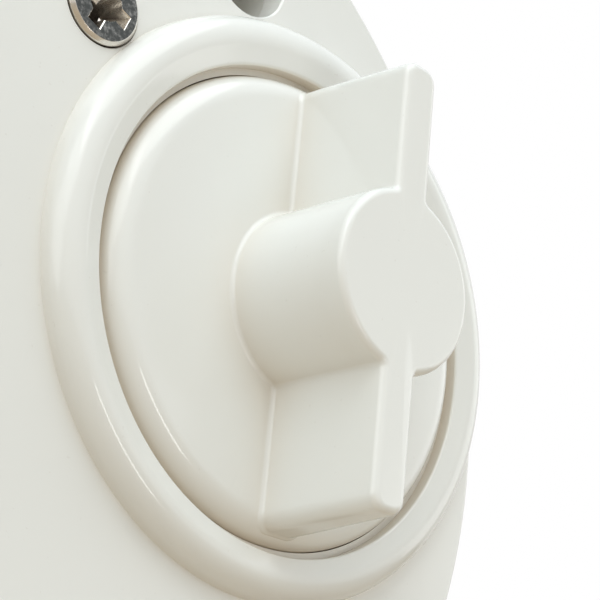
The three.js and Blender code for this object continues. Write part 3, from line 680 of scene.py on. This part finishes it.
def make_cover():
    """The shell with its well and outlet boss, drilled, and then the ring on its face."""
    shell = cover_shell()
    well_under = WELL_FLOOR - WELL_FLOOR_THICKNESS
    outlet_foot = -cover.radius - OUTLET_REACH
    well = rod(
        "well", WELL_RADIUS + WELL_WALL, well_under, FACE - GAP, knob.x, knob.y, LARGE_SEGMENTS,
    )
    boss = turned("boss", soften([
        (0, outlet_foot),
        (OUTLET_BOSS_RADIUS, outlet_foot, OUTLET_ROUND),
        (OUTLET_BOSS_RADIUS, -SHELL_INNER + SHELL_WALL),
        (0, -SHELL_INNER + SHELL_WALL),
    ]), guide.x, GUIDE_LEVEL, downward=True)
    combine(shell, [well, boss], "UNION")
    knob_room = rod(
        "knob_room", WELL_RADIUS + GAP, WELL_FLOOR, knob.top, knob.x, knob.y, LARGE_SEGMENTS,
    )
    spindle_hole = rod(
        "spindle_hole", SPINDLE_HOLE_RADIUS, well_under - OVERRUN, FACE, knob.x, knob.y,
    )
    outlet = turned("outlet", [
        (0, outlet_foot - OVERRUN),
        (GUIDE_BUSH + GAP, outlet_foot - OVERRUN),
        (GUIDE_BUSH + GAP, -SHELL_INNER + 2 * SHELL_WALL),
        (0, -SHELL_INNER + 2 * SHELL_WALL),
    ], guide.x, GUIDE_LEVEL, downward=True)
    fixing_holes = [fixing_hole(seat) for seat in sleeves]
    screw_seats = [screw_seat(seat) for seat in screws]
    cuts = [knob_room, spindle_hole, *fixing_holes, *screw_seats, outlet]
    combine(shell, cuts, "DIFFERENCE")
    combine(shell, [raised_ring()], "UNION")
    dress(shell, "housing", "gloss_white", "front_cover")


# Turn knob

def grip_quarter(half, reach, boss, crease, corner):
    """The grip's outline in one quarter, from the tip of the wing to the side of the boss."""
    counts = GRIP_COUNTS
    along = math.sqrt((boss + crease) ** 2 - (half + crease) ** 2)
    lean = math.atan2(along, half + crease)
    shoulder = reach - corner
    points = [((half - corner) * i / counts["tip"], reach) for i in range(counts["tip"])]
    for i in range(counts["corner"]):
        angle = math.pi / 2 * (1 - i / counts["corner"])
        across = half - corner + corner * math.cos(angle)
        points.append((across, shoulder + corner * math.sin(angle)))
    for i in range(counts["side"]):
        points.append((half, shoulder + (along - shoulder) * i / counts["side"]))
    for i in range(counts["crease"]):
        angle = math.pi + lean * i / counts["crease"]
        across = half + crease + crease * math.cos(angle)
        points.append((across, along + crease * math.sin(angle)))
    for i in range(counts["boss"] + 1):
        angle = lean * (1 - i / counts["boss"])
        points.append((boss * math.cos(angle), boss * math.sin(angle)))
    return points


def grip_outline(rise, offset):
    """The whole outline at a share of the grip's height, moved outwards by offset."""
    size = {key: foot + (GRIP_FRONT[key] - foot) * rise for key, foot in GRIP_FOOT.items()}
    quarter = grip_quarter(
        half=size["half"] + offset,
        reach=size["reach"] + min(offset, TIP_FILLET),
        boss=size["boss"] + offset,
        crease=GRIP_CREASE - min(offset, CREASE_LOSS_SHARE * GRIP_CREASE),
        corner=GRIP_CORNER + CORNER_GAIN_SHARE * offset,
    )
    back = quarter[::-1]
    return [
        *quarter[:-1],
        *[(x, -y) for x, y in back[:-1]],
        *[(-x, -y) for x, y in quarter[:-1]],
        *[(-x, y) for x, y in back[:-1]],
    ]


def disc_level(radius):
    """The level of the disc's face, which falls away in a round at the rim."""
    over = max(0.0, min(DISC_ROUND, radius - (DISC_RADIUS - DISC_ROUND)))
    return DISC_FACE - DISC_ROUND + math.sqrt(DISC_ROUND ** 2 - over ** 2)


def grip_rings():
    """The grip from the middle of its front to the foot of its fillet, which lies on the disc."""
    height = knob.top - DISC_FACE
    rings = [[(0, 0, knob.top)]]
    for i in range(GRIP_EDGE_STEPS + 1):
        angle = math.pi / 2 * (1 - i / GRIP_EDGE_STEPS)
        level = knob.top - GRIP_EDGE * (1 - math.sin(angle))
        outline = grip_outline((level - DISC_FACE) / height, -GRIP_EDGE * (1 - math.cos(angle)))
        rings.append([(x, y, level) for x, y in outline])
    for i in range(1, GRIP_WALL_STEPS):
        share = i / GRIP_WALL_STEPS
        level = (knob.top - GRIP_EDGE) * (1 - share) + (DISC_FACE + GRIP_FILLET) * share
        rings.append([(x, y, level) for x, y in grip_outline((level - DISC_FACE) / height, 0)])
    for i in range(GRIP_FILLET_STEPS + 1):
        angle = math.pi / 2 * i / GRIP_FILLET_STEPS
        lift = GRIP_FILLET * (1 - math.sin(angle))
        outline = grip_outline(lift / height, GRIP_FILLET * (1 - math.cos(angle)))
        rings.append([(x, y, disc_level(math.hypot(x, y)) + lift) for x, y in outline])
    return rings


def disc_rings(foot):
    """The disc from the grip's foot out to the rim, and round it to the middle of the back."""
    spokes = [(math.atan2(y, x), math.hypot(x, y)) for x, y, _ in foot]
    flat = DISC_RADIUS - DISC_ROUND
    targets = [share * flat for share in DISC_FLAT_SHARES]
    for i in range(1, DISC_ROUND_STEPS + 1):
        targets.append(flat + DISC_ROUND * math.sin(math.pi / 2 * i / DISC_ROUND_STEPS))
    rings = []
    for i, target in enumerate(targets):
        share = (i + 1) / len(targets)
        ring = []
        for angle, reach in spokes:
            radius = max(target, reach + (DISC_RADIUS - reach) * share)
            ring.append((radius * math.cos(angle), radius * math.sin(angle), disc_level(radius)))
        rings.append(ring)
    rim = [(DISC_RADIUS, knob.bottom + SMALL_ROUND), (DISC_RADIUS - SMALL_ROUND, knob.bottom)]
    for radius, level in rim:
        rings.append([
            (radius * math.cos(angle), radius * math.sin(angle), level) for angle, _ in spokes
        ])
    rings.append([(0, 0, knob.bottom)])
    return rings


def spindle_bore():
    """The blind hole for the spindle, with its flat side."""
    low, high = knob.bottom - OVERRUN, knob.top - BORE_COVER
    flat = knob.x + BORE_RADIUS - BORE_FLAT
    section = [(min(x, flat), y) for x, y in circle(knob.x, knob.y, BORE_RADIUS, SMALL_SEGMENTS)]
    return skin("spindle_bore", [
        [(knob.x, knob.y, low)],
        [(x, y, low) for x, y in section],
        [(x, y, high) for x, y in section],
        [(knob.x, knob.y, high)],
    ])


def make_knob():
    """The disc and its grip in one skin, hollowed from behind round the hub."""
    grip = grip_rings()
    rings = grip + disc_rings(grip[-1])
    body = skin("wing_knob", [[(knob.x + x, knob.y + y, z) for x, y, z in ring] for ring in rings])
    hollow = turned("hollow", [
        (HUB_RADIUS, knob.bottom - OVERRUN),
        (DISC_RADIUS - DISC_SKIN, knob.bottom - OVERRUN),
        (DISC_RADIUS - DISC_SKIN, DISC_FACE - DISC_SKIN),
        (HUB_RADIUS, DISC_FACE - DISC_SKIN),
    ], knob.x, knob.y, looped=True)
    seal_top = knob.bottom + SEAL_ROOM_DEPTH
    seal_room = rod("seal_room", SEAL_ROOM_RADIUS, knob.bottom - OVERRUN, seal_top, knob.x, knob.y)
    combine(body, [hollow, seal_room, spindle_bore()], "DIFFERENCE")
    dress(body, "knob", "gloss_white", "turn_knob")


# Cover screws

def recess_ring(seat, turn, spread, shrink, level):
    """The cross of a driver recess at one depth: four wings, joined by the land between them."""
    reach = RECESS_REACH * shrink + spread
    half = RECESS_HALF * shrink + spread
    core = RECESS_CORE * shrink + spread
    root = math.acos(half / core)
    land = [math.pi / 2 - root, math.pi / 4, root]
    corners = [(reach, -half), (reach, half)]
    corners += [(core * math.cos(angle), core * math.sin(angle)) for angle in land]
    ring = []
    for i in range(4):
        spin = Matrix.Rotation(math.radians(turn + 90 * i), 2)
        for corner in corners:
            place = spin @ Vector(corner)
            ring.append((seat.x + place.x, seat.y + place.y, level))
    return ring


def make_screw(seat, turn, number):
    """A countersunk screw whose cross recess tapers round a deeper, round socket."""
    top = FACE + HEAD_PROUD
    screw = turned(f"screw_{number}", soften([
        (0, top),
        (HEAD_RADIUS - HEAD_BEVEL, top, HEAD_TOP_ROUND),
        (HEAD_RADIUS, top - HEAD_BEVEL, HEAD_BEVEL_ROUND),
        (HEAD_RADIUS, top - HEAD_RIM, HEAD_EDGE_ROUND),
        (SHANK_RADIUS, FACE - HEAD_CONE_DEPTH, NECK_ROUND),
        (SHANK_RADIUS, seat.bottom + POINT_LENGTH),
        (SHANK_RADIUS - POINT_TAPER, seat.bottom),
        (0, seat.bottom),
    ]), seat.x, seat.y)
    deepest = top - RECESS_DEPTH
    recess = skin("recess", [
        [(seat.x, seat.y, top + RECESS_CHAMFER)],
        recess_ring(seat, turn, 2 * RECESS_CHAMFER, 1, top + RECESS_CHAMFER),
        recess_ring(seat, turn, 0, 1, top - RECESS_CHAMFER),
        recess_ring(seat, turn, 0, RECESS_TAPER_SHARE, deepest),
        [(seat.x, seat.y, deepest - RECESS_HALF)],
    ])
    socket = turned("socket", [
        (0, deepest - OVERRUN),
        (SOCKET_RADIUS * RECESS_TAPER_SHARE, deepest - OVERRUN),
        (SOCKET_RADIUS, top - RECESS_CHAMFER),
        (SOCKET_RADIUS, top + RECESS_CHAMFER),
        (0, top + RECESS_CHAMFER),
    ], seat.x, seat.y)
    combine(screw, [recess, socket], "DIFFERENCE")
    dress(screw, "housing", "nickel", f"cover_screw_{number}")


# Base plate

def screw_post(seat):
    return turned("post", soften([
        (0, BASE_FLOOR - GAP),
        (POST_RADIUS, BASE_FLOOR - GAP),
        (POST_RADIUS, FACE_UNDER - GAP, POST_ROUND),
        (0, FACE_UNDER - GAP),
    ]), seat.x, seat.y)


def ejector_marks():
    marks = []
    for i in range(MARK_COUNT):
        angle = math.radians(MARK_START + 360 * i / MARK_COUNT)
        x, y = MARK_CIRCLE * math.cos(angle), MARK_CIRCLE * math.sin(angle)
        marks.append(rod("mark", MARK_RADIUS, -OVERRUN, MARK_DEPTH, x, y))
    return marks


def make_base():
    """The back with its screw posts, drilled for the screws, the fixings and the cable."""
    tongue = SHELL_INNER - GAP
    tongue_top = cover.bottom + TONGUE_HEIGHT
    plate = turned("base", soften([
        (0, 0),
        (base.radius, 0, BACK_EDGE_ROUND),
        (base.radius, BASE_RIM_HEIGHT, SMALL_ROUND),
        (tongue, BASE_RIM_HEIGHT, SMALL_ROUND),
        (tongue, tongue_top, SMALL_ROUND),
        (tongue - TONGUE_WALL, tongue_top, SMALL_ROUND),
        (tongue - TONGUE_WALL, BASE_FLOOR, FLOOR_FILLET),
        (0, BASE_FLOOR),
    ]), 0, 0, LARGE_SEGMENTS)
    combine(plate, [screw_post(seat) for seat in screws], "UNION")
    cuts = []
    for seat in screws:
        cuts.append(rod("bore", POST_BORE_RADIUS, seat.bottom - OVERRUN, FACE, seat.x, seat.y))
    room_top = tongue_top + OVERRUN
    for seat in sleeves:
        cuts.append(rod("room", seat.radius + GAP, BASE_FLOOR, room_top, seat.x, seat.y))
    floor_top = BASE_FLOOR + OVERRUN
    for seat in sleeves:
        cuts.append(rod("hole", WALL_SCREW_RADIUS, -OVERRUN, floor_top, seat.x, seat.y))
    cuts.append(rod("entry", ENTRY_RADIUS, -OVERRUN, floor_top, grommet.x, grommet.y))
    combine(plate, cuts + ejector_marks(), "DIFFERENCE")
    dress(plate, "housing", "white_moulding", "base_plate")


# Small pieces round the casing

def make_seal():
    band = turned("seal_band", soften([
        (SHELL_INNER, seal.bottom, SMALL_ROUND),
        (seal.radius, seal.bottom, SMALL_ROUND),
        (seal.radius, seal.top, SMALL_ROUND),
        (SHELL_INNER, seal.top, SMALL_ROUND),
    ], looped=True), 0, 0, LARGE_SEGMENTS, looped=True)
    dress(band, "housing", "grey_rubber", "cover_seal")


def make_grommet():
    neck = ENTRY_RADIUS - GAP
    flange = BASE_FLOOR + GAP
    ring = turned("cable_ring", soften([
        (CABLE_RADIUS, grommet.bottom, GROMMET_MOUTH_ROUND),
        (neck, grommet.bottom, GROMMET_EDGE_ROUND),
        (neck, flange),
        (grommet.radius, flange, GROMMET_EDGE_ROUND),
        (grommet.radius, grommet.top, GROMMET_RIM_ROUND),
        (CABLE_RADIUS, grommet.top, GROMMET_MOUTH_ROUND),
    ]), grommet.x, grommet.y, looped=True)
    dress(ring, "housing", "grey_rubber", "cable_grommet")


def make_sleeve(seat, node):
    tube = turned(node + "_tube", soften([
        (FIXING_RADIUS, seat.bottom, SLEEVE_ROUND),
        (seat.radius, seat.bottom, SLEEVE_ROUND),
        (seat.radius, FACE_UNDER - SEAM, SLEEVE_ROUND),
        (FIXING_RADIUS, FACE_UNDER - SEAM),
    ]), seat.x, seat.y, looped=True)
    dress(tube, "housing", "white_moulding", node)


def make_guide():
    flange_top = guide.foot + GUIDE_FLANGE
    eye = turned("cord_eye", soften([
        (GUIDE_BORE, guide.foot, GUIDE_MOUTH_ROUND),
        (guide.radius, guide.foot, GUIDE_RIM_ROUND),
        (guide.radius, flange_top, GUIDE_STEP_ROUND),
        (GUIDE_BUSH, flange_top),
        (GUIDE_BUSH, guide.head, GUIDE_END_ROUND),
        (GUIDE_BORE, guide.head, GUIDE_END_ROUND),
    ]), guide.x, GUIDE_LEVEL, downward=True, looped=True)
    dress(eye, "housing", "white_moulding", "cord_guide")


def finish_inner_nodes():
    """The frame's own solids get their slot's finish; those inside the casing stay in use."""
    slots = {part["node"]: part["material_slot"] for part in frame["record"]["subparts"]}
    for name, node in frame["nodes"].items():
        for holder in node.material_slots:
            holder.material = finishes[slots[name]]


# Floor, world and lamps

FLOOR_HALF_WIDTH = 2.0
FLOOR_DROP = 0.014
FLOOR_COLOUR = rgb(0.5, 0.4, 0.29)
FLOOR_ROUGHNESS = 0.9
WHITE = rgb(1, 1, 1)
AMBIENT_COLOUR = rgb(0.88, 0.96, 1)
AMBIENT_STRENGTH = 0.51
BACKDROP_STRENGTH = 1.0
SOFTBOX_COLOUR = (0.97, 1, 1)
STRIP_COLOUR = (1, 1, 1)
STRIP_DIRECTION = (0.669, 0, -0.743)


def add_floor():
    mesh = bmesh.new()
    bmesh.ops.create_grid(mesh, x_segments=1, y_segments=1, size=FLOOR_HALF_WIDTH)
    floor = new_piece("floor", mesh)
    floor.location.z = cad_low.z - FLOOR_DROP
    pale = Finish("pale_floor", {"Base Color": FLOOR_COLOUR, "Roughness": FLOOR_ROUGHNESS})
    floor.data.materials.append(pale.material)


def add_world():
    """A soft ambient light, with white where the camera, glossy or clear surfaces see it."""
    world = bpy.data.worlds.new("studio")
    bpy.context.scene.world = world
    nodes = Nodes(world, "World Output")
    nodes.tree.nodes.remove(nodes.tree.nodes["Background"])
    camera_ray, glossy_ray, clear_ray = (
        nodes.node("ShaderNodeLightPath", output=output)
        for output in ("Is Camera Ray", "Is Glossy Ray", "Is Transmission Ray")
    )
    seen = camera_ray.larger(glossy_ray).larger(clear_ray)
    ambient = {"Color": AMBIENT_COLOUR, "Strength": AMBIENT_STRENGTH}
    backdrop = {"Color": WHITE, "Strength": BACKDROP_STRENGTH}
    nodes.feed("Surface", nodes.node("ShaderNodeMixShader", None, {
        0: seen,
        1: nodes.node("ShaderNodeBackground", None, ambient),
        2: nodes.node("ShaderNodeBackground", None, backdrop),
    }))


def add_lamp(name, place, size, power, colour=SOFTBOX_COLOUR, along=(1, 0, 0)):
    """A lamp that shines at the knob, with its long side turned along a direction."""
    data = bpy.data.lights.new(name, "AREA")
    data.shape = "RECTANGLE"
    data.size, data.size_y = size
    data.energy = power
    data.color = colour
    lamp = bpy.data.objects.new(name, data)
    bpy.context.scene.collection.objects.link(lamp)
    back = (Vector(place) - to_row((knob.x, knob.y, FACE))).normalized()
    side = (Vector(along) - back * back.dot(Vector(along))).normalized()
    turn = Matrix((side, back.cross(side), back)).transposed().to_4x4()
    lamp.matrix_world = Matrix.Translation(place) @ turn


def add_lamps():
    add_lamp("overhead_softbox", place=(-0.05, -0.22, 0.42), size=(0.45, 0.35), power=1.06)
    add_lamp("upper_left_softbox", place=(-0.3, -0.3, 0.32), size=(0.3, 0.3), power=0.5)
    add_lamp("left_softbox", place=(-0.8, -0.25, 0.2), size=(0.5, 0.5), power=1.1)
    add_lamp("right_softbox", place=(0.8, -0.35, 0.25), size=(0.5, 0.5), power=1.1)
    add_lamp(
        "low_strip", place=(0.0165, -0.177, -0.0455), size=(0.07, 0.012), power=0.024,
        colour=STRIP_COLOUR, along=STRIP_DIRECTION,
    )


add_camera()
make_cover()
make_base()
make_seal()
make_grommet()
make_guide()
make_sleeve(sleeves[0], "upper_fixing_sleeve")
make_sleeve(sleeves[1], "lower_fixing_sleeve")
make_knob()
for number, (seat, turn) in enumerate(zip(screws, SCREW_TURNS), start=1):
    make_screw(seat, turn, number)
finish_inner_nodes()
add_floor()
add_world()
add_lamps()
bpy.context.scene.view_settings.view_transform = "Standard"
